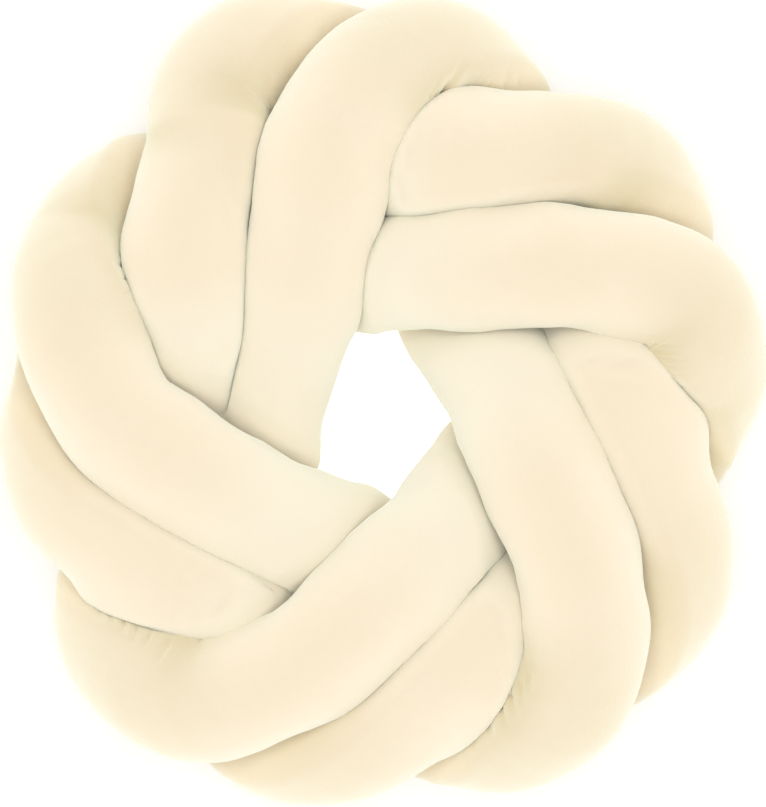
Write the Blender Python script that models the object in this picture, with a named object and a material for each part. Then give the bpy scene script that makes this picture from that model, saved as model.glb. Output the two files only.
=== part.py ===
"""A knot cushion: one long stuffed tube of plain cloth, laid up as a ring of five bands of two runs each.

Every band comes up beside the central hole from under its neighbour, lies over the pair of runs that cross
below it, folds over the rim and goes back under the next band. The fold swaps its two runs, so the run that
lay outside comes up beside the hole two bands further on, and the other way round. The ten runs follow each
other in this way as a single closed tube. Runs that meet press each other flat.
Metres, +Z up, lying on the floor at Z = 0.
"""

import math
from typing import NamedTuple

import bpy
import numpy as np

MM = 0.001
BANDS = 5
TUBE_RADIUS = 36 * MM
# The cloth swells by at most this much beside a place where it is pressed flat.
MOST_SWELL = 1.05
# Two runs that press on each other keep this much between them.
CLEARANCE = 1.5 * MM
# Of two runs that press on each other, how much more of the way between them the upper one takes when it lies
# straight above the lower one.
UPPER_SHARE = 0.2
# The higher, the more sharply a pressed flat side turns into the round one.
SEAM_CRISPNESS = 14
# Two places on the tube press on each other from this far apart along it. Beyond the longer distance, they
# belong to different runs.
BEND_REACH = 0.4 * TUBE_RADIUS
OWN_REACH = 3.0 * TUBE_RADIUS
RINGS = 300
SIDES = 18
# Points along the route for each ring of the mesh.
FINENESS = 4

CREAM = (0.88, 0.79, 0.64, 1.0)


class Station(NamedTuple):
    """A place on a run, in mm: to the right and outwards in its band's frame, and over the floor.

    The stage is 0 beside the hole, 1 a quarter of the way out, 2 halfway, 3 at the shoulder, 4 on the rim,
    5 past the rim and 6 where the next run starts."""

    across: float
    along: float
    height: float
    stage: float


class Lie(NamedTuple):
    """How far a run lies outside its stations at stages 0 to 5, and how much higher near stage 1, in mm.

    The last three say how much fuller than TUBE_RADIUS it is stuffed at stages 0, 2 and 4."""

    hole: float
    quarter: float
    halfway: float
    shoulder: float
    rim: float
    past: float
    lift: float
    full_at_hole: float = 0.0
    full_halfway: float = 0.0
    full_at_rim: float = 0.0


INNER_RUN = [
    Station(-79, -24, 40, 0.0),
    Station(-75, 5, 59, 0.3),
    Station(-70, 32, 82, 0.7),
    Station(-63, 62, 99, 1.0),
    Station(-53, 103, 109, 1.6),
    Station(-43, 135, 112, 2.0),
    Station(-29, 165, 110, 2.5),
    Station(-10, 187, 102, 3.0),
    Station(11, 197, 90, 3.5),
    Station(33, 197, 74, 4.0),
    Station(53, 185, 58, 4.5),
    Station(69, 163, 44, 5.0),
    Station(84, 134, 36, 5.3),
    Station(98, 103, 38, 5.5),
    Station(112, 73, 53, 5.8),
]
OUTER_RUN = [
    Station(-122, 45, 79, 0.0),
    Station(-120, 75, 88, 0.6),
    Station(-114, 118, 89, 1.4),
    Station(-105, 148, 83, 2.0),
    Station(-89, 172, 72, 3.0),
    Station(-62, 187, 58, 4.0),
    Station(-34, 189, 46, 5.0),
    Station(-10, 181, 38, 5.2),
    Station(6, 160, 34, 5.4),
    Station(18, 130, 33, 5.6),
    Station(32, 96, 34, 5.8),
]
# A row for each band, clockwise from the one at the top left.
INNER_LIES = [
    Lie(-9, -17, -11, -2, 2, -4, -9, -5, 1.5, 1.5),
    Lie(12, 1, -1, -1, -13, -9, 0, -2, -1, 2),
    Lie(-3, -3, -1, 1, 1, 5, 0, 2, 0, 0),
    Lie(1, 5, 10, 12, 2, -5, 0, 2.5, -0.5, 0),
    Lie(8, 12, 10, -6, -10, 3, 0, 0.5, 0, 2),
]
OUTER_LIES = [
    Lie(-11, -6, -4, 12, 20, 10, 8),
    Lie(15, 4, 2, 2, -6, -14, 7, 3),
    Lie(9, -8, -9, -5, -1, 0, 0, 3),
    Lie(13, 2, 1, 0, 0, -1, 0, 3),
    Lie(19, 5, -2, -10, -17, -16, 0, 3),
]


def turned(across, along, band):
    """A place in a band's frame as the same place in the first band's frame."""
    angle = 2 * math.pi * band / BANDS
    cos, sin = math.cos(angle), math.sin(angle)
    return across * cos + along * sin, along * cos - across * sin


def runs_in_order():
    """The ten runs in the order in which the tube makes them, as (band, stations, lie)."""
    runs = []
    for step in range(2 * BANDS):
        band = 2 * step % BANDS
        if step % 2 == 0:
            runs.append((band, INNER_RUN, INNER_LIES[band]))
        else:
            runs.append((band, OUTER_RUN, OUTER_LIES[band]))
    return runs


def route_points():
    """The places that the tube's middle passes through, in order, as (x, y, z, tube radius) in metres."""
    runs = runs_in_order()
    points, outside = [], []
    for number, (band, run, lie) in enumerate(runs):
        next_lie = runs[(number + 1) % len(runs)][2]
        offsets = (*lie[:6], next_lie.hole)
        fullness = (lie.full_at_hole, lie.full_halfway, lie.full_at_rim, next_lie.full_at_hole)
        for across, along, height, stage in run:
            lift = lie.lift * np.interp(stage, (0, 0.5, 1.5, 3), (0, 1, 1, 0))
            radius = TUBE_RADIUS / MM + np.interp(stage, (0, 2, 4, 6), fullness)
            points.append((*turned(across, along, band), height + lift, radius))
            outside.append(np.interp(stage, range(len(offsets)), offsets))
    points = np.array(points)
    ahead = (np.roll(points, -1, axis=0) - np.roll(points, 1, axis=0))[:, :2]
    ahead /= np.linalg.norm(ahead, axis=1, keepdims=True)
    outwards = np.stack([-ahead[:, 1], ahead[:, 0]], axis=1)
    points[:, :2] += outwards * np.array(outside)[:, None]
    return points * MM


def evenly_spaced(line, count):
    """`count` points evenly spaced along a closed line, whose rows begin with x, y and z."""
    closed = np.vstack([line, line[:1]])
    steps = np.linalg.norm(np.diff(closed[:, :3], axis=0), axis=1)
    along = np.concatenate([[0.0], np.cumsum(steps)])
    wanted = np.linspace(0.0, along[-1], count, endpoint=False)
    return np.stack([np.interp(wanted, along, column) for column in closed.T], axis=1)


def smooth_route(points, count):
    """`count` points evenly spaced along the smooth closed curve through `points`: a closed cubic spline."""
    following = np.roll(points, -1, axis=0)
    spans = np.linalg.norm((following - points)[:, :3], axis=1) ** 0.5
    slopes = (following - points) / spans[:, None]
    total = len(points)
    system = np.diag(2 * (spans + np.roll(spans, 1)))
    for i in range(total):
        system[i, i - 1] += spans[i - 1]
        system[i, (i + 1) % total] += spans[i]
    bends = np.linalg.solve(system, 6 * (slopes - np.roll(slopes, 1, axis=0)))
    pieces = []
    for i in range(total):
        span, bend, next_bend = spans[i], bends[i], bends[(i + 1) % total]
        done = np.linspace(0.0, span, 50, endpoint=False)[:, None]
        left = span - done
        pieces.append(
            (bend * left**3 + next_bend * done**3) / (6 * span)
            + (points[i] / span - bend * span / 6) * left
            + (following[i] / span - next_bend * span / 6) * done
        )
    return evenly_spaced(np.concatenate(pieces), count)


def spokes(line, sides):
    """Unit vectors from each point of the line towards its ring's corners, as an array (point, side, axis)."""
    ahead = np.roll(line, -1, axis=0) - np.roll(line, 1, axis=0)
    ahead /= np.linalg.norm(ahead, axis=1, keepdims=True)
    right = np.cross(ahead, (0.0, 0.0, 1.0))
    right /= np.linalg.norm(right, axis=1, keepdims=True)
    up = np.cross(right, ahead)
    angles = 2 * math.pi * np.arange(sides) / sides
    cos, sin = np.cos(angles)[None, :, None], np.sin(angles)[None, :, None]
    return cos * right[:, None, :] + sin * up[:, None, :]


def room_to_neighbours(centres, directions, line):
    """How far the cloth can reach from each centre in each direction before it meets another place on the tube.

    Two places on one run meet on the plane halfway between them. Two runs meet nearer to the lower one, and
    each keeps half the clearance from there."""
    length = np.linalg.norm(np.roll(line, -1, axis=0) - line, axis=1).sum()
    numbers = np.arange(len(line))
    room = np.full(directions.shape[:2], np.inf)
    for i, centre in enumerate(centres):
        apart = np.abs(numbers - i * len(line) / len(centres)) / len(line)
        apart = np.minimum(apart, 1 - apart) * length
        towards = line - centre
        distance = np.linalg.norm(towards, axis=1)
        near = (distance < 2.6 * TUBE_RADIUS) & (apart > BEND_REACH)
        towards, distance, apart = towards[near], distance[near], apart[near]
        facing = directions[i] @ (towards / distance[:, None]).T
        share = 0.5 - UPPER_SHARE * towards[:, 2] / distance
        meeting = np.where(apart > OWN_REACH, share * distance - CLEARANCE / 2, distance / 2)
        reach = np.where(facing > 0.02, meeting / np.maximum(facing, 0.02), np.inf)
        room[i] = reach.min(axis=1)
    return room


def blunt_minimum(first, second):
    """The smaller of two lengths, with the change from one to the other rounded."""
    return (first**-SEAM_CRISPNESS + second**-SEAM_CRISPNESS) ** (-1 / SEAM_CRISPNESS)


def tube_rings(rings, sides):
    """The tube's surface as an array (ring, side, axis), lying on the floor."""
    route = smooth_route(route_points(), rings * FINENESS)
    line, radius = route[:, :3], route[::FINENESS, 3:]
    centres = line[::FINENESS]
    directions = spokes(line, sides)[::FINENESS]
    room = room_to_neighbours(centres, directions, line)
    section, most = radius**2, MOST_SWELL * radius
    for _ in range(3):
        area = (blunt_minimum(radius, room) ** 2).mean(axis=1, keepdims=True)
        radius = np.minimum(radius * (section / area) ** 0.5, most)
        radius = (np.roll(radius, 1, axis=0) + 2 * radius + np.roll(radius, -1, axis=0)) / 4
    surface = centres[:, None, :] + blunt_minimum(radius, room)[:, :, None] * directions
    surface[..., 2] = np.maximum(surface[..., 2], 0.0)
    return surface


def plain_material(name, colour, roughness):
    material = bpy.data.materials.new(name)
    material.use_nodes = True
    shader = material.node_tree.nodes["Principled BSDF"]
    shader.inputs["Base Color"].default_value = colour
    shader.inputs["Roughness"].default_value = roughness
    shader.inputs["Metallic"].default_value = 0.0
    return material


def add_knot_tube():
    surface = tube_rings(RINGS, SIDES)
    corners = surface.reshape(-1, 3)
    middle = (corners.min(axis=0) + corners.max(axis=0)) / 2
    corners = corners - (middle[0], middle[1], 0.0)
    faces = []
    for ring in range(RINGS):
        for side in range(SIDES):
            here, there = ring * SIDES, (ring + 1) % RINGS * SIDES
            after = (side + 1) % SIDES
            faces.append((here + side, there + side, there + after, here + after))
    mesh = bpy.data.meshes.new("knot_tube")
    mesh.from_pydata(corners.tolist(), [], faces)
    mesh.shade_smooth()
    mesh.materials.append(plain_material("cream_cloth", CREAM, 0.85))
    tube = bpy.data.objects.new("knot_tube", mesh)
    bpy.context.scene.collection.objects.link(tube)


def main():
    for leftover in list(bpy.data.objects):
        bpy.data.objects.remove(leftover)
    add_knot_tube()


main()
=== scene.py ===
"""A knot cushion of cream velvet, lying on a bright studio floor and seen from straight above.

One long stuffed tube is laid up as a ring of five bands of two runs each. Every band comes up beside the
central hole from under its neighbour, lies over the pair of runs that cross below it, folds over the rim and
goes back under the next band. The tube's route is the one that its solid follows, in the same frame. Here its
cloth is settled: it is pressed flat where runs meet, rounds off tightly beside such a place, and gathers into
small pleats on the inside of each bend. Creases and swells are given one by one.
Metres, +Z up, the floor at Z = 0.
"""

import math
from typing import NamedTuple

import bpy
import numpy as np
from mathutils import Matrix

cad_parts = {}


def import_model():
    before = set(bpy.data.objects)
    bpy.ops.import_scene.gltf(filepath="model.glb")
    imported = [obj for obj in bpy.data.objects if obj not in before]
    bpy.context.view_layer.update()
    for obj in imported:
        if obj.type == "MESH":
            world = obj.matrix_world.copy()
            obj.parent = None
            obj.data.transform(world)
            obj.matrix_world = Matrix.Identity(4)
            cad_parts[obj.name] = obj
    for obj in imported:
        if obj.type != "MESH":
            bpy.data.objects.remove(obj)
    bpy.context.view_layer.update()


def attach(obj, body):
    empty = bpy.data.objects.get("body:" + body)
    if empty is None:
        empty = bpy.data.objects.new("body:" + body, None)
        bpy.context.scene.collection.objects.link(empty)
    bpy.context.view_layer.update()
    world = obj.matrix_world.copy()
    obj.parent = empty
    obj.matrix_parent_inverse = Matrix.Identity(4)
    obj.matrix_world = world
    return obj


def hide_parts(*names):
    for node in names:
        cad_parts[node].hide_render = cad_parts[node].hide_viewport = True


MM = 0.001


class Waves(NamedTuple):
    """Irregular waves over the cloth: from `fewest` to `most` lie along the tube, and up to `around` round it.

    They are the sum of `count` plain ones."""

    fewest: int
    most: int
    around: int
    count: int


class Crease(NamedTuple):
    """A soft trough in the upper side of a run, from one place to another in plan, in mm.

    It is deepest where it starts, and `width` is half its width."""

    run: int
    from_x: float
    from_y: float
    to_x: float
    to_y: float
    width: float
    depth: float


class Swell(NamedTuple):
    """A soft ridge on the upper side of a run, along a line from one place to another in plan, in mm.

    `width` is half its width."""

    run: int
    from_x: float
    from_y: float
    to_x: float
    to_y: float
    width: float
    height: float


class Glow(NamedTuple):
    """How strongly the floor glows at a distance from its middle, in metres."""

    radius: float
    strength: float


# The route and its sections, as in the solid.
BANDS = 5
TUBE_RADIUS = 36 * MM
MOST_SWELL = 1.05
SEAM_CRISPNESS = 14
# Steps in each piece of the route's spline.
SPLINE_STEPS = 50

# How the runs press on each other.
# Two places on the tube press on each other from this far apart along it. Beyond the longer distance, they
# belong to different runs.
BEND_REACH = 0.2 * TUBE_RADIUS
OWN_REACH = 3.0 * TUBE_RADIUS
# Places with their middles further apart than this don't touch.
FARTHEST_NEIGHBOUR = 2.6 * TUBE_RADIUS
# A direction faces a neighbour or the floor when more than this share of it points there.
LEAST_FACING = 0.02
# How much of its way to the fold the cloth goes on the inside of a tight bend.
BEND_SHARE = 0.95
# Of two runs that press on each other, how much more than half the way between them the upper one takes when it
# lies straight above the lower one, and how much less the lower one. The upper one bulges over the edge of the
# lower one by the difference.
UPPER_TAKES = 0.33
LOWER_GIVES = 0.27
# The piles of two runs that press on each other reach into each other by this much.
PILE_MESH = 3.0 * MM
# The cloth bulges to close a gap of up to about this share of its radius.
WIDEST_CLOSED_GAP = 0.32

# The mesh.
RINGS = 1130
SIDES = 76
# Points along the route for each ring of the mesh.
FINENESS = 2
# The rings stand closer where the tube bends: by this much more for a bend as tight as the tube's own radius.
BEND_CROWDING = 1.6
# Where there is a crease, each cell of the mesh is divided into this many along each side.
FINE_PARTS = 3
# Creases no deeper than this need no finer mesh.
SHALLOWEST = 0.08 * MM

# The cloth.
# How many times the crowding of the rings, the tube's bend and its swelling are smoothed along the tube.
CROWDING_SMOOTHING = 144
BEND_SMOOTHING = 12
SWELLING_SMOOTHING = 17
SWELLING_PASSES = 3
SETTLING_STEPS = 60
# How far the cloth creeps in a settling step for each unit of its bend, in square metres.
SETTLING_PACE = 2.5 * MM * MM
# How firmly the filling holds the skin, as the bend that it sets against each metre of give.
FILLING_HOLD = 0.04 / MM**2
# Small pleats, where the inside of a bend gathers the cloth by more than the first share. At the second share
# they have their full depth.
PLEATS_START = 0.35
PLEATS_FULL = 0.85
PLEAT_DEPTH = 1.1 * MM
PLEAT_WAVES = Waves(330, 620, 2, 36)
# Uneven stuffing, in broad lumps and in small ones.
BROAD_LUMPS = Waves(40, 100, 3, 24)
BROAD_LUMP_HEIGHT = 0.45 * MM
SMALL_LUMPS = Waves(120, 320, 9, 40)
SMALL_LUMP_HEIGHT = 0.12 * MM
SEED = 11
# Which sides of the tube take part in the listed creases and swells, as how far up they face: not up to the
# first number, and fully from the second on.
CREASED_SIDES = (-0.3, 0.1)
SWOLLEN_SIDES = (-0.2, 0.5)
# A crease has low banks, as a share of its depth, which reach this many times as far as the crease itself.
BANK_HEIGHT = 0.25
BANK_REACH = 2.5

# The painted shade where the tube dips and the painted paler light where it rises show most where the tube's
# slope reaches the second of these, and not at all below the first.
PAINTED_SHADING_SLOPES = (0.08, 0.5)
# How much of the painted shade shows on the outside of a bend. The inside begins where a side faces inwards by
# the first of the next numbers, and is full from the second on.
OUTER_PAINTED_SHADE = 0.3
PAINTED_SHADE_INSIDE = (-0.5, 0.7)
# A bend of this radius, in metres, counts as halfway straight.
STRAIGHT = 0.4
# The sizes of the cloth's brushed patches, its mottling and the tufts of its pile, and the tufts' height.
BRUSHED_SIZE = 45 * MM
MOTTLE_SIZE = 4 * MM
TUFT_SIZE = 1.6 * MM
TUFT_HEIGHT = 0.6 * MM
# How far across the lumps of a noise texture of scale 1 are, in metres.
NOISE_LUMP = 0.6

# The cloth's colours, as linear light.
CREAM_WARM = (0.89, 0.795, 0.635, 1)
CREAM_PALE = (0.895, 0.81, 0.66, 1)
# Painted shade: a darker ochre where the tube dips under its neighbour.
CREAM_PAINTED_SHADE = (0.76, 0.68, 0.46, 1)
# Painted light: a paler, greyer cream where the tube rises beside the edge of the run above.
CREAM_PAINTED_LIGHT = (0.90, 0.84, 0.70, 1)
CREAM_MOTTLE = (0.88, 0.79, 0.62, 1)
# The light, as radiance from the sky and as irradiance from the front, and how wide the front light is.
LIGHT_AT_HORIZON = 1.15
LIGHT_OVERHEAD = 0.34
FRONT_LIGHT = 1.6
FRONT_LIGHT_ANGLE = math.radians(40)
# The floor glows in the cushion's hole and round it, but not where the cushion lies.
FLOOR_SIZE = 8.0
FLOOR_GLOW = [Glow(0.05, 1), Glow(0.075, 0), Glow(0.175, 0), Glow(0.205, 0.25)]
GLOW_REACH = 0.25
# The camera looks straight down on this place, and sees this far along the taller side of the picture from it.
CAMERA_AIM = (-0.0005, -0.0035, 0.075)
CAMERA_DISTANCE = 8.0
HALF_VIEW = 0.234


class Station(NamedTuple):
    """A place on a run, in mm: to the right and outwards in its band's frame, and over the floor.

    The stage is 0 beside the hole, 1 a quarter of the way out, 2 halfway, 3 at the shoulder, 4 on the rim,
    5 past the rim and 6 where the next run starts."""

    across: float
    along: float
    height: float
    stage: float


class Lie(NamedTuple):
    """How far a run lies outside its stations at stages 0 to 5, and how much higher near stage 1, in mm.

    The last three say how much fuller than TUBE_RADIUS it is stuffed at stages 0, 2 and 4."""

    hole: float
    quarter: float
    halfway: float
    shoulder: float
    rim: float
    past: float
    lift: float
    full_at_hole: float = 0.0
    full_halfway: float = 0.0
    full_at_rim: float = 0.0


INNER_RUN = [
    Station(-79, -24, 40, 0.0),
    Station(-75, 5, 59, 0.3),
    Station(-70, 32, 82, 0.7),
    Station(-63, 62, 99, 1.0),
    Station(-53, 103, 109, 1.6),
    Station(-43, 135, 112, 2.0),
    Station(-29, 165, 110, 2.5),
    Station(-10, 187, 102, 3.0),
    Station(11, 197, 90, 3.5),
    Station(33, 197, 74, 4.0),
    Station(53, 185, 58, 4.5),
    Station(69, 163, 44, 5.0),
    Station(84, 134, 36, 5.3),
    Station(98, 103, 38, 5.5),
    Station(112, 73, 53, 5.8),
]
OUTER_RUN = [
    Station(-122, 45, 79, 0.0),
    Station(-120, 75, 88, 0.6),
    Station(-114, 118, 89, 1.4),
    Station(-105, 148, 83, 2.0),
    Station(-89, 172, 72, 3.0),
    Station(-62, 187, 58, 4.0),
    Station(-34, 189, 46, 5.0),
    Station(-10, 181, 38, 5.2),
    Station(6, 160, 34, 5.4),
    Station(18, 130, 33, 5.6),
    Station(32, 96, 34, 5.8),
]
# In both tables, a row for each band, clockwise from the one at the top left.
INNER_LIES = [
    Lie(-9, -17, -11, -2, 2, -4, -9, -5, 1.5, 1.5),
    Lie(12, 1, -1, -1, -13, -9, 0, -2, -1, 2),
    Lie(-3, -3, -1, 1, 1, 5, 0, 2, 0, 0),
    Lie(1, 5, 10, 12, 2, -5, 0, 2.5, -0.5, 0),
    Lie(8, 12, 10, -6, -10, 3, 0, 0.5, 0, 2),
]
OUTER_LIES = [
    Lie(-11, -6, -4, 12, 20, 10, 8),
    Lie(15, 4, 2, 2, -6, -14, 7, 3),
    Lie(9, -8, -9, -5, -1, 0, 0, 3),
    Lie(13, 2, 1, 0, 0, -1, 0, 3),
    Lie(19, 5, -2, -10, -17, -16, 0, 3),
]
CREASES = [
    # The fan of folds where the inner run of the first band bends round the outer run of the second.
    Crease(0, 36, 180, 57, 213, 2.2, 3.6),
    Crease(0, 29, 179, 38, 198, 1.1, 2.0),
    Crease(0, 32, 180, 44, 198, 1.1, 2.2),
    Crease(0, 36, 181, 47, 194, 1.1, 1.8),
    Crease(0, 52, 185, 60, 203, 7.0, 2.6),
    Crease(0, 62, 186, 67, 193, 1.2, 1.6),
    Crease(0, 72, 187, 76, 201, 1.8, 1.6),
    Crease(0, 80, 188, 82, 197, 1.3, 1.0),
    # The grooves where two swelling runs press side by side.
    Crease(0, -92, -2, -81, 38, 2.6, 5.0),
    Crease(5, -92, -2, -81, 38, 2.6, 5.0),
    Crease(2, -53, -107, -84, -90, 2.0, 3.0),
    Crease(7, -53, -107, -84, -90, 2.0, 3.0),
    # Short ones at the other inner bends.
    Crease(2, -146, 87, -153, 92, 1.2, 1.8),
    Crease(2, -146, 82, -156, 87, 1.2, 1.8),
    Crease(2, -145, 76, -151, 75, 1.1, 1.2),
    Crease(2, -144, 68, -151, 67, 1.4, 1.6),
    Crease(4, -164, -112, -157, -124, 1.4, 2.2),
    Crease(4, -157, -116, -152, -128, 1.5, 2.6),
    Crease(4, -148, -121, -148, -132, 1.5, 2.8),
    Crease(4, -140, -125, -143, -137, 1.5, 2.8),
    Crease(4, -132, -129, -138, -140, 1.3, 2.4),
    Crease(4, -121, -133, -131, -150, 2.0, 2.8),
    Crease(6, 87, -152, 86, -166, 1.6, 2.4),
    Crease(6, 81, -157, 83, -172, 1.5, 3.0),
    Crease(6, 75, -164, 79, -178, 1.5, 3.0),
    Crease(6, 69, -171, 75, -186, 1.7, 3.0),
    Crease(6, 61, -179, 67, -194, 2.0, 2.8),
    Crease(6, 53, -186, 57, -200, 1.8, 2.4),
    Crease(8, 156, 38, 170, 37, 1.1, 1.2),
    Crease(8, 159, 34, 176, 33, 1.1, 1.4),
    Crease(8, 163, 30, 180, 28, 1.1, 1.4),
    Crease(8, 166, 25, 181, 24, 1.1, 1.3),
    Crease(8, 169, 20, 185, 21, 1.1, 1.2),
    Crease(8, 174, 13, 188, 13, 1.1, 1.0),
]
SWELLS = [
    # Where a run comes up beside the hole from under its neighbour, its filling swells up against that one.
    Swell(0, -86, -5, -52, -26, 18, 7),
    Swell(2, -48, -99, -8, -62, 18, 8),
    Swell(7, -84, -128, -54, -106, 16, 8),
    Swell(6, 38, 42, 82, 42, 18, 5),
    Swell(1, 96, 41, 150, 36, 14, 4),
    Swell(5, -122, 26, -92, 2, 13, 5),
    # Outer runs that swell up against the inner run of their band, near the rim.
    Swell(5, -66, 165, -44, 205, 13, 5),
    Swell(3, 130, 119, 175, 109, 13, 5),
    Swell(1, 157, -105, 159, -148, 13, 5),
    Swell(9, -25, -178, -62, -196, 12, 4),
]


def turned(across, along, band):
    """A place in a band's frame as the same place in the first band's frame."""
    angle = 2 * math.pi * band / BANDS
    cos, sin = math.cos(angle), math.sin(angle)
    return across * cos + along * sin, along * cos - across * sin


def runs_in_order():
    """The ten runs in the order in which the tube makes them, as (band, stations, lie)."""
    runs = []
    for step in range(2 * BANDS):
        band = 2 * step % BANDS
        if step % 2 == 0:
            runs.append((band, INNER_RUN, INNER_LIES[band]))
        else:
            runs.append((band, OUTER_RUN, OUTER_LIES[band]))
    return runs


def route_points():
    """The places that the tube's middle passes through, in order, as (x, y, z, tube radius) in metres."""
    runs = runs_in_order()
    points, outside = [], []
    for number, (band, run, lie) in enumerate(runs):
        next_lie = runs[(number + 1) % len(runs)][2]
        offsets = (*lie[:6], next_lie.hole)
        fullness = (lie.full_at_hole, lie.full_halfway, lie.full_at_rim, next_lie.full_at_hole)
        for across, along, height, stage in run:
            lift = lie.lift * np.interp(stage, (0, 0.5, 1.5, 3), (0, 1, 1, 0))
            radius = TUBE_RADIUS / MM + np.interp(stage, (0, 2, 4, 6), fullness)
            points.append((*turned(across, along, band), height + lift, radius))
            outside.append(np.interp(stage, range(len(offsets)), offsets))
    points = np.array(points)
    ahead = (np.roll(points, -1, axis=0) - np.roll(points, 1, axis=0))[:, :2]
    ahead /= np.linalg.norm(ahead, axis=1, keepdims=True)
    outwards = np.stack([-ahead[:, 1], ahead[:, 0]], axis=1)
    points[:, :2] += outwards * np.array(outside)[:, None]
    return points * MM


def evenly_spaced(line, count):
    """`count` points evenly spaced along a closed line, whose rows begin with x, y and z."""
    closed = np.vstack([line, line[:1]])
    steps = np.linalg.norm(np.diff(closed[:, :3], axis=0), axis=1)
    along = np.concatenate([[0.0], np.cumsum(steps)])
    wanted = np.linspace(0.0, along[-1], count, endpoint=False)
    return np.stack([np.interp(wanted, along, column) for column in closed.T], axis=1)


def smooth_route(points, count):
    """`count` points evenly spaced along the smooth closed curve through `points`: a closed cubic spline."""
    following = np.roll(points, -1, axis=0)
    spans = np.linalg.norm((following - points)[:, :3], axis=1) ** 0.5
    slopes = (following - points) / spans[:, None]
    total = len(points)
    system = np.diag(2 * (spans + np.roll(spans, 1)))
    for i in range(total):
        system[i, i - 1] += spans[i - 1]
        system[i, (i + 1) % total] += spans[i]
    bends = np.linalg.solve(system, 6 * (slopes - np.roll(slopes, 1, axis=0)))
    pieces = []
    for i in range(total):
        span, bend, next_bend = spans[i], bends[i], bends[(i + 1) % total]
        done = np.linspace(0.0, span, SPLINE_STEPS, endpoint=False)[:, None]
        left = span - done
        pieces.append(
            (bend * left**3 + next_bend * done**3) / (6 * span)
            + (points[i] / span - bend * span / 6) * left
            + (following[i] / span - next_bend * span / 6) * done
        )
    return evenly_spaced(np.concatenate(pieces), count)


def spokes(line, sides):
    """Unit vectors from each point of the line towards its ring's corners, as an array (point, side, axis)."""
    ahead = np.roll(line, -1, axis=0) - np.roll(line, 1, axis=0)
    ahead /= np.linalg.norm(ahead, axis=1, keepdims=True)
    right = np.cross(ahead, (0.0, 0.0, 1.0))
    right /= np.linalg.norm(right, axis=1, keepdims=True)
    up = np.cross(right, ahead)
    angles = 2 * math.pi * np.arange(sides) / sides
    cos, sin = np.cos(angles)[None, :, None], np.sin(angles)[None, :, None]
    return cos * right[:, None, :] + sin * up[:, None, :]


def crowded_round_bends(line, count):
    """`count` places along a closed line, closer together where it bends. They are numbers of its points, and
    need not be whole."""
    ahead = np.roll(line, -1, axis=0) - line
    lengths = np.linalg.norm(ahead, axis=1, keepdims=True)
    ahead /= lengths
    turn = np.linalg.norm(ahead - np.roll(ahead, 1, axis=0), axis=1, keepdims=True)
    bend = smoothed_along(turn / lengths, CROWDING_SMOOTHING)[:, 0]
    crowding = 1 + BEND_CROWDING * bend * TUBE_RADIUS
    along = np.concatenate([[0.0], np.cumsum(crowding)])
    return np.interp(np.arange(count) * along[-1] / count, along, np.arange(len(along)))


def between_points(line, places):
    """The closed line's rows at the places, which are numbers of its points."""
    closed = np.vstack([line, line[:1]])
    return np.stack([np.interp(places, np.arange(len(closed)), column) for column in closed.T], axis=1)


def room_to_neighbours(centres, directions, line, places):
    """How far the cloth can reach from each centre in each direction before it meets the floor or another place
    on the tube.

    Two runs meet nearer to the lower one than to the upper one, and their piles reach into each other."""
    length = np.linalg.norm(np.roll(line, -1, axis=0) - line, axis=1).sum()
    numbers = np.arange(len(line))
    down = -directions[..., 2]
    room = np.where(down > LEAST_FACING, centres[:, None, 2] / np.maximum(down, LEAST_FACING), np.inf)
    for i, centre in enumerate(centres):
        apart = np.abs(numbers - places[i]) / len(line)
        apart = np.minimum(apart, 1 - apart) * length
        towards = line - centre
        distance = np.linalg.norm(towards, axis=1)
        near = (distance < FARTHEST_NEIGHBOUR) & (apart > BEND_REACH)
        towards, distance, apart = towards[near], distance[near], apart[near]
        facing = directions[i] @ (towards / distance[:, None]).T
        above = -towards[:, 2] / distance
        share = 0.5 + np.where(above > 0, UPPER_TAKES, LOWER_GIVES) * above
        between_runs = share * distance + PILE_MESH / 2
        meeting = np.where(apart > OWN_REACH, between_runs, BEND_SHARE * distance / 2)
        reach = np.where(facing > LEAST_FACING, meeting / np.maximum(facing, LEAST_FACING), np.inf)
        room[i] = np.minimum(room[i], reach.min(axis=1))
    return room


def blunt_minimum(first, second):
    """The smaller of two lengths, with the change from one to the other rounded."""
    return (first**-SEAM_CRISPNESS + second**-SEAM_CRISPNESS) ** (-1 / SEAM_CRISPNESS)


def bend_of(radii, step):
    """The bend (1 / radius) of each ring's outline, given as its reach at even angles `step` apart."""
    after, before = np.roll(radii, -1, axis=1), np.roll(radii, 1, axis=1)
    slope = (after - before) / (2 * step)
    change = (after - 2 * radii + before) / step**2
    return (radii**2 + 2 * slope**2 - radii * change) / (radii**2 + slope**2) ** 1.5


def filled_out(radius, room):
    """The free reach of each ring's cloth: `radius`, and more where that lets it close a narrow gap."""
    gap = np.clip(room / radius - 1, 0, 1)
    return radius * (1 + gap * np.exp(-((gap / WIDEST_CLOSED_GAP) ** 2)))


def pressed_reach(radius, room):
    """The reach of each ring's cloth: a round tube cut off flat at its neighbours, which swells to keep its
    section."""
    wanted, most = radius**2, MOST_SWELL * radius
    for _ in range(SWELLING_PASSES):
        area = (blunt_minimum(filled_out(radius, room), room) ** 2).mean(axis=1, keepdims=True)
        radius = np.minimum(radius * (wanted / area) ** 0.5, most)
        radius = smoothed_along(radius, SWELLING_SMOOTHING)
    return blunt_minimum(filled_out(radius, room), room)


def smoothed_along(values, times):
    """The values of a closed line's points, each averaged with its neighbours' as many times as that."""
    for _ in range(times):
        values = (np.roll(values, 1, axis=0) + 2 * values + np.roll(values, -1, axis=0)) / 4
    return values


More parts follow.
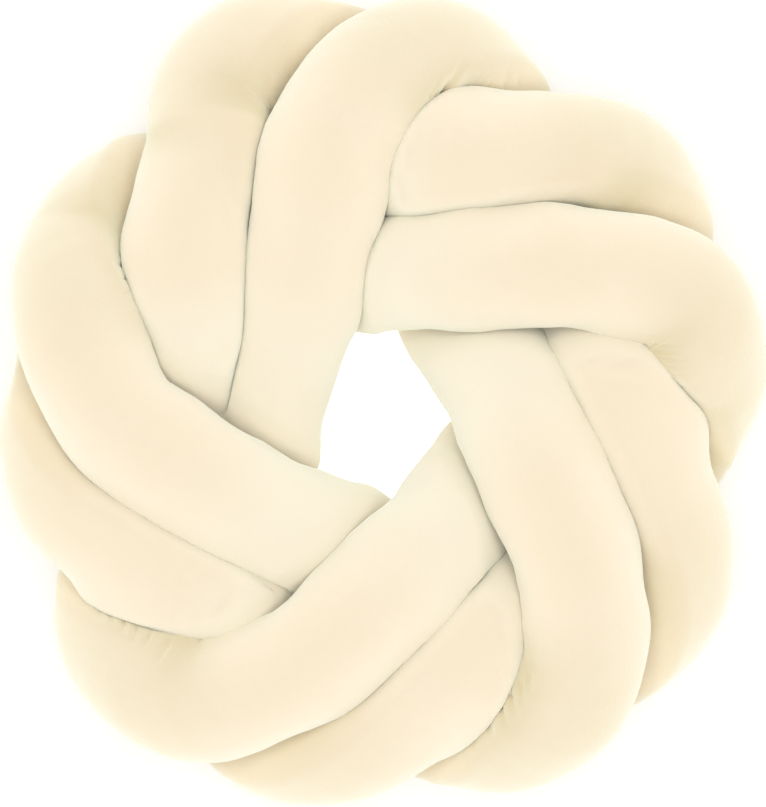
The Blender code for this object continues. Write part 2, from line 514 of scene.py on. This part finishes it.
def settled(reach, room):
    """The reach of each ring's cloth once its skin has rounded off the edges of the flat pressed parts.

    A skin under pressure takes an even bend where it is free. The filling holds it near its first shape."""
    step = 2 * math.pi / SIDES
    radii = reach
    for _ in range(SETTLING_STEPS):
        pace = SETTLING_PACE * (radii / TUBE_RADIUS) ** 2
        push = 1 / TUBE_RADIUS - bend_of(radii, step) + FILLING_HOLD * (reach - radii)
        radii = np.minimum(radii + pace * push, room)
    return radii


def turning(centres):
    """Towards which side the tube bends at each ring, and how tightly: an array (ring, axis) in 1 / metres."""
    ahead = np.roll(centres, -1, axis=0) - np.roll(centres, 1, axis=0)
    length = np.linalg.norm(ahead, axis=1, keepdims=True)
    ahead = ahead / length
    turn = (np.roll(ahead, -1, axis=0) - np.roll(ahead, 1, axis=0)) / length
    return smoothed_along(turn, BEND_SMOOTHING)


def gathered(centres, directions, radii):
    """How much the cloth is gathered along the tube: 0 on a straight run, 1 where it folds on itself."""
    return np.clip(radii * np.einsum("rsa,ra->rs", directions, turning(centres)), 0, 1)


def painted_shading_of(centres, directions):
    """Where shade and light are painted into the colour: 1, painted shade, where the tube dips, mostly on the
    inside of its bend, and -1, painted paler light, where it rises.
    """
    ahead = np.roll(centres, -1, axis=0) - np.roll(centres, 1, axis=0)
    slope = ahead[:, 2:] / np.linalg.norm(ahead, axis=1, keepdims=True)
    slope = smoothed_along(slope, BEND_SMOOTHING)
    turn = turning(centres)
    inwards = turn / (np.linalg.norm(turn, axis=1, keepdims=True) + 1 / STRAIGHT)
    inside = risen(np.einsum("rsa,ra->rs", directions, inwards), *PAINTED_SHADE_INSIDE)
    dips = risen(-slope, *PAINTED_SHADING_SLOPES) * (OUTER_PAINTED_SHADE + (1 - OUTER_PAINTED_SHADE) * inside)
    return dips - risen(slope, *PAINTED_SHADING_SLOPES)


def irregular(waves, along, rng):
    """Irregular waves of about unit height over all the rings and sides."""
    around = np.arange(SIDES)[None, :] / SIDES
    total = np.zeros((RINGS, SIDES))
    for _ in range(waves.count):
        phase = rng.integers(waves.fewest, waves.most + 1) * along[:, None]
        phase = phase + rng.integers(-waves.around, waves.around + 1) * around + rng.random()
        total += np.cos(2 * math.pi * phase)
    return total * (2 / waves.count) ** 0.5


def risen(value, low, high):
    """0 up to `low`, 1 from `high` on, and a smooth rise between them."""
    share = np.clip((value - low) / (high - low), 0, 1)
    return share**2 * (3 - 2 * share)


def run_of_ring(centres):
    """The number of the run that each ring belongs to."""
    points = route_points()[:, :3]
    first = np.cumsum([0] + [len(run) for _, run, _ in runs_in_order()][:-1])
    starts = [np.linalg.norm(centres - points[number], axis=1).argmin() for number in first]
    starts[0] = 0
    return np.searchsorted(starts, np.arange(len(centres)), side="right") - 1


def with_the_one_before(run, number):
    """Which rings belong to a run or to the one that leads into it."""
    return (run == number) | (run == (number - 1) % (2 * BANDS))


def swell_height(surface, directions, run):
    """How high the listed swells stand at each point of the cloth."""
    height = np.zeros(surface.shape[:2])
    plan = surface[..., :2] / MM
    upper = risen(directions[..., 2], *SWOLLEN_SIDES)
    for swell in SWELLS:
        start = np.array([swell.from_x, swell.from_y])
        way = np.array([swell.to_x, swell.to_y]) - start
        share = np.clip((plan - start) @ way / (way @ way), 0, 1)
        distance = np.linalg.norm(plan - start - share[..., None] * way, axis=2)
        here = with_the_one_before(run, swell.run)[:, None]
        height += swell.height * MM * np.exp(-((distance / swell.width) ** 2)) * upper * here
    return height


def crease_depth(surface, directions, run):
    """How deep the listed creases lie at each point of the cloth."""
    depth = np.zeros(surface.shape[:2])
    plan = surface[..., :2] / MM
    upper = risen(directions[..., 2], *CREASED_SIDES)
    for crease in CREASES:
        start = np.array([crease.from_x, crease.from_y])
        way = np.array([crease.to_x, crease.to_y]) - start
        length = np.linalg.norm(way)
        way = way / length
        along = (plan - start) @ way
        beside = (plan - start) @ np.array([-way[1], way[0]])
        fade = risen(-along, -length, 0) * risen(along, -crease.width, crease.width)
        trough = np.exp(-((beside / crease.width) ** 2))
        trough -= BANK_HEIGHT * np.exp(-((beside / crease.width / BANK_REACH) ** 2))
        depth += crease.depth * MM * trough * fade * upper * (run == crease.run)[:, None]
    return depth


def finer(values):
    """The closed array (ring, side, ...) with FINE_PARTS rings and sides for each, on smooth curves."""
    for axis in (0, 1):
        rows = np.moveaxis(values, axis, 0)
        before, after, later = (np.roll(rows, by, axis=0) for by in (1, -1, -2))
        parts = []
        for part in range(FINE_PARTS):
            t = part / FINE_PARTS
            first = t / 2 * (after - before)
            second = t**2 * (before - 2.5 * rows + 2 * after - later / 2)
            parts.append(rows + first + second + t**3 / 2 * (3 * (rows - after) + later - before))
        values = np.moveaxis(np.stack(parts, axis=1).reshape(-1, *rows.shape[1:]), 0, axis)
    return values


def cloth_points():
    """The cloth before it is creased: its surface and its outward directions as arrays (ring, side, axis), its
    painted shade and light as (ring, side) and the run of each ring."""
    rng = np.random.default_rng(SEED)
    route = smooth_route(route_points(), RINGS * FINENESS)
    places = crowded_round_bends(route[:, :3], RINGS)
    rings = between_points(route, places)
    centres, radius = rings[:, :3], rings[:, 3:]
    directions = spokes(centres, SIDES)
    room = room_to_neighbours(centres, directions, route[:, :3], places)
    radii = settled(pressed_reach(radius, room), room)
    squeeze = gathered(centres, directions, radii)
    along = places / len(route)
    pleats = 0.5 - np.abs(irregular(PLEAT_WAVES, along, rng))
    radii = radii - PLEAT_DEPTH * pleats * risen(squeeze, PLEATS_START, PLEATS_FULL)
    radii = radii + BROAD_LUMP_HEIGHT * irregular(BROAD_LUMPS, along, rng)
    radii = radii + SMALL_LUMP_HEIGHT * irregular(SMALL_LUMPS, along, rng)
    run = run_of_ring(centres)
    radii = np.minimum(radii, room)
    surface = centres[:, None, :] + radii[..., None] * directions
    radii = radii + swell_height(surface, directions, run)
    surface = centres[:, None, :] + radii[..., None] * directions
    return surface, directions, painted_shading_of(centres, directions), run


def faces_of(divided, number):
    """The faces of the lattice: a cell is one of them, or FINE_PARTS each way where it is divided.

    `number` holds each fine place's number as a vertex, or -1. A whole cell also takes in the vertices that a
    divided neighbour has on its edges."""
    parts = FINE_PARTS
    closed = np.pad(number, ((0, parts), (0, parts)), mode="wrap")
    faces = []
    for ring, side in np.ndindex(divided.shape):
        block = closed[ring * parts : (ring + 1) * parts + 1, side * parts : (side + 1) * parts + 1]
        if divided[ring, side]:
            for i, j in np.ndindex(parts, parts):
                faces.append([block[i, j], block[i + 1, j], block[i + 1, j + 1], block[i, j + 1]])
        else:
            edge = [*block[:-1, 0], *block[-1, :-1], *block[:0:-1, -1], *block[0, :0:-1]]
            faces.append([corner for corner in edge if corner >= 0])
    return faces


def add_cushion(material):
    """The whole cushion as one closed mesh, finer where it is creased, centred on its box like the solid."""
    surface, directions, painted_shading, run = cloth_points()
    surface, directions, painted_shading = finer(surface), finer(directions), finer(painted_shading)
    depth = crease_depth(surface, directions, np.repeat(run, FINE_PARTS))
    surface = surface - depth[..., None] * directions
    creased = np.abs(depth) > SHALLOWEST
    divided = creased.reshape(RINGS, FINE_PARTS, SIDES, FINE_PARTS).any(axis=(1, 3))
    used = np.zeros(depth.shape, bool)
    used[::FINE_PARTS, ::FINE_PARTS] = True
    for ring, side in np.argwhere(divided) * FINE_PARTS:
        rows = np.arange(ring, ring + FINE_PARTS + 1) % used.shape[0]
        columns = np.arange(side, side + FINE_PARTS + 1) % used.shape[1]
        used[np.ix_(rows, columns)] = True
    number = np.where(used, np.cumsum(used).reshape(used.shape) - 1, -1)
    corners = surface[used]
    middle = (corners.min(axis=0) + corners.max(axis=0)) / 2
    corners = corners - (middle[0], middle[1], 0.0)
    mesh = bpy.data.meshes.new("knot_cushion")
    mesh.from_pydata(corners.tolist(), [], faces_of(divided, number))
    mesh.shade_smooth()
    mesh.materials.append(material)
    # Where the cloth's colour gets painted shade (dips, 1) and painted paler light (rises, -1).
    mesh.attributes.new("painted_shading", "FLOAT", "POINT").data.foreach_set("value", painted_shading[used])
    cushion = bpy.data.objects.new("knot_cushion", mesh)
    bpy.context.scene.collection.objects.link(cushion)
    return cushion


def add_node(material, kind, **inputs):
    """A new node of the material, with its inputs set to values or linked to other nodes' outputs."""
    node = material.node_tree.nodes.new(kind)
    for name, value in inputs.items():
        socket = node.inputs[name.replace("_", " ").title()]
        if isinstance(value, bpy.types.NodeSocket):
            material.node_tree.links.new(value, socket)
        else:
            socket.default_value = value
    return node


def noise(material, size, detail=2.0):
    """Noise whose lumps are about `size` metres across, from 0 to 1."""
    place = add_node(material, "ShaderNodeTexCoord").outputs["Object"]
    scale = NOISE_LUMP / size
    return add_node(material, "ShaderNodeTexNoise", vector=place, scale=scale, detail=detail).outputs["Fac"]


def mixed(material, share, first, second):
    """A colour between the first and the second, which are colours or outputs."""
    node = material.node_tree.nodes.new("ShaderNodeMix")
    node.data_type = "RGBA"
    sockets = {socket.identifier: socket for socket in node.inputs}
    for name, value in (("Factor_Float", share), ("A_Color", first), ("B_Color", second)):
        if isinstance(value, bpy.types.NodeSocket):
            material.node_tree.links.new(value, sockets[name])
        else:
            sockets[name].default_value = value
    return next(socket for socket in node.outputs if socket.identifier == "Result_Color")


def spread(material, value, low, high, to_low=0.0, to_high=1.0):
    """The value's range from `low` to `high` stretched to the new one, and clipped there."""
    ends = {"from_min": low, "from_max": high, "to_min": to_low, "to_max": to_high}
    return add_node(material, "ShaderNodeMapRange", value=value, **ends).outputs["Result"]


def velvet():
    """Short cream pile, with painted shade where the tube dips and painted paler light where it rises."""
    material = bpy.data.materials.new("cream_velvet")
    material.use_nodes = True
    links = material.node_tree.links
    painted_shading = material.node_tree.nodes.new("ShaderNodeAttribute")
    painted_shading.attribute_name = "painted_shading"
    brushed = spread(material, noise(material, BRUSHED_SIZE), 0.35, 0.65)
    colour = mixed(material, brushed, CREAM_WARM, CREAM_PALE)
    mottle = spread(material, noise(material, MOTTLE_SIZE, 3.0), 0.3, 0.7, 0.0, 0.5)
    colour = mixed(material, mottle, colour, CREAM_MOTTLE)
    # Painted shade where the tube dips.
    colour = mixed(material, spread(material, painted_shading.outputs["Fac"], 0, 1), colour, CREAM_PAINTED_SHADE)
    # Painted paler light where the tube rises.
    colour = mixed(material, spread(material, painted_shading.outputs["Fac"], -1, 0, 1, 0), colour, CREAM_PAINTED_LIGHT)
    tufts = noise(material, TUFT_SIZE, 3.0)
    pile = add_node(material, "ShaderNodeBump", strength=0.35, distance=TUFT_HEIGHT, height=tufts)
    shader = material.node_tree.nodes["Principled BSDF"]
    links.new(colour, shader.inputs["Base Color"])
    links.new(pile.outputs["Normal"], shader.inputs["Normal"])
    shader.inputs["Roughness"].default_value = 0.95
    shader.inputs["Diffuse Roughness"].default_value = 1.0
    shader.inputs["Specular IOR Level"].default_value = 0.1
    shader.inputs["Sheen Weight"].default_value = 0.9
    shader.inputs["Sheen Roughness"].default_value = 0.5
    shader.inputs["Sheen Tint"].default_value = (0.94, 1.0, 0.88, 1)
    return material


def add_floor():
    """A white floor that glows like a studio's, but not where the cushion lies on it."""
    bpy.ops.mesh.primitive_plane_add(size=FLOOR_SIZE, location=(0, 0, 0))
    floor = bpy.context.object
    floor.name = "floor"
    material = bpy.data.materials.new("floor")
    material.use_nodes = True
    place = add_node(material, "ShaderNodeTexCoord").outputs["Object"]
    distance = add_node(material, "ShaderNodeVectorMath", vector=place)
    distance.operation = "LENGTH"
    share = spread(material, distance.outputs["Value"], 0, GLOW_REACH)
    ramp = add_node(material, "ShaderNodeValToRGB", fac=share)
    stops = ramp.color_ramp.elements
    stops.remove(stops[1])
    for number, glow in enumerate(FLOOR_GLOW):
        stop = stops.new(glow.radius / GLOW_REACH) if number else stops[0]
        stop.position = glow.radius / GLOW_REACH
        stop.color = (glow.strength, glow.strength, glow.strength, 1)
    shader = material.node_tree.nodes["Principled BSDF"]
    material.node_tree.links.new(ramp.outputs["Color"], shader.inputs["Emission Color"])
    shader.inputs["Base Color"].default_value = (0.8, 0.8, 0.8, 1)
    shader.inputs["Roughness"].default_value = 0.9
    shader.inputs["Emission Strength"].default_value = 1.0
    floor.data.materials.append(material)


def add_lights():
    """Even light from all sides, stronger from low down, and a broad soft one from the camera's side."""
    world = bpy.data.worlds.new("studio")
    world.use_nodes = True
    place = add_node(world, "ShaderNodeTexCoord").outputs["Generated"]
    height = add_node(world, "ShaderNodeSeparateXYZ", vector=place).outputs["Z"]
    strength = spread(world, height, 0, 1, LIGHT_AT_HORIZON, LIGHT_OVERHEAD)
    background = world.node_tree.nodes["Background"]
    background.inputs["Color"].default_value = (1, 1, 1, 1)
    world.node_tree.links.new(strength, background.inputs["Strength"])
    bpy.context.scene.world = world
    sun = bpy.data.lights.new("front_light", "SUN")
    sun.energy = FRONT_LIGHT
    sun.angle = FRONT_LIGHT_ANGLE
    front = bpy.data.objects.new("front_light", sun)
    bpy.context.scene.collection.objects.link(front)


def add_camera():
    """A camera straight above the cushion, which fills its picture."""
    data = bpy.data.cameras.new("camera")
    data.lens = data.sensor_width / 2 / (HALF_VIEW / CAMERA_DISTANCE)
    data.clip_end = 100
    camera = bpy.data.objects.new("camera", data)
    camera.location = CAMERA_AIM
    camera.location.z += CAMERA_DISTANCE
    bpy.context.scene.collection.objects.link(camera)
    bpy.context.scene.camera = camera


def main():
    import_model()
    cushion = add_cushion(velvet())
    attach(cushion, "root")
    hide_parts("knot_tube")
    add_floor()
    add_lights()
    add_camera()
    bpy.context.scene.view_settings.view_transform = "Standard"


main()
